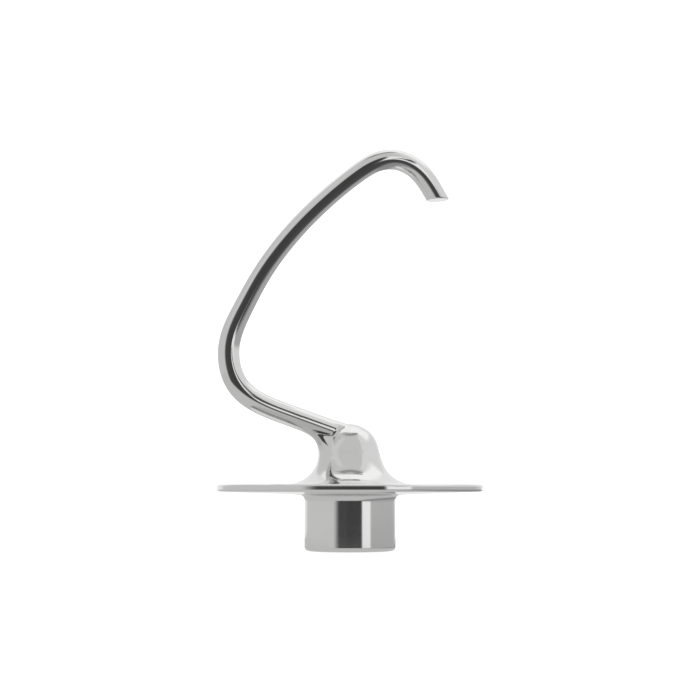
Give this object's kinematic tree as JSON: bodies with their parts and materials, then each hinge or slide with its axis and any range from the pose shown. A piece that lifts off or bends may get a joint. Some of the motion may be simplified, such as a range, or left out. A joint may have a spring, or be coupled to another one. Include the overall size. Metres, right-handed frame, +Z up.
{
  "type": "dough hook",
  "caption": "Polished steel dough hook for a planetary stand mixer: a tapered C-shaped arm rising from a bell boss, a round guard disc, and a hub with a bayonet socket for the drive shaft.",
  "frame": {"origin": "centre of the hub's mouth, where the hook stands when it is set down on its hub", "axes": "+Z up the drive axis from the hub's mouth to the hook, +X the way the tip lies, -X the way the arm leaves the boss, +Y away from the picture's camera"},
  "size_m": [0.0884, 0.0884, 0.1328],
  "materials": {
    "polished_arm": "mirror-polished stainless steel",
    "polished_boss": "mirror-polished stainless steel, slightly uneven from hand grinding",
    "polished_disc": "polished stainless steel, turned",
    "polished_hub": "mirror-polished stainless steel",
    "machined_bush": "machined steel, satin"
  },
  "bodies": {
    "root": {"hook_arm": "polished_arm", "neck_boss": "polished_boss", "arm_weld": "polished_boss", "boss_weld": "polished_boss", "guard_disc": "polished_disc", "hub_sleeve": "polished_hub", "hub_weld": "polished_hub", "drive_bush": "machined_bush"}
  },
  "joints": []
}
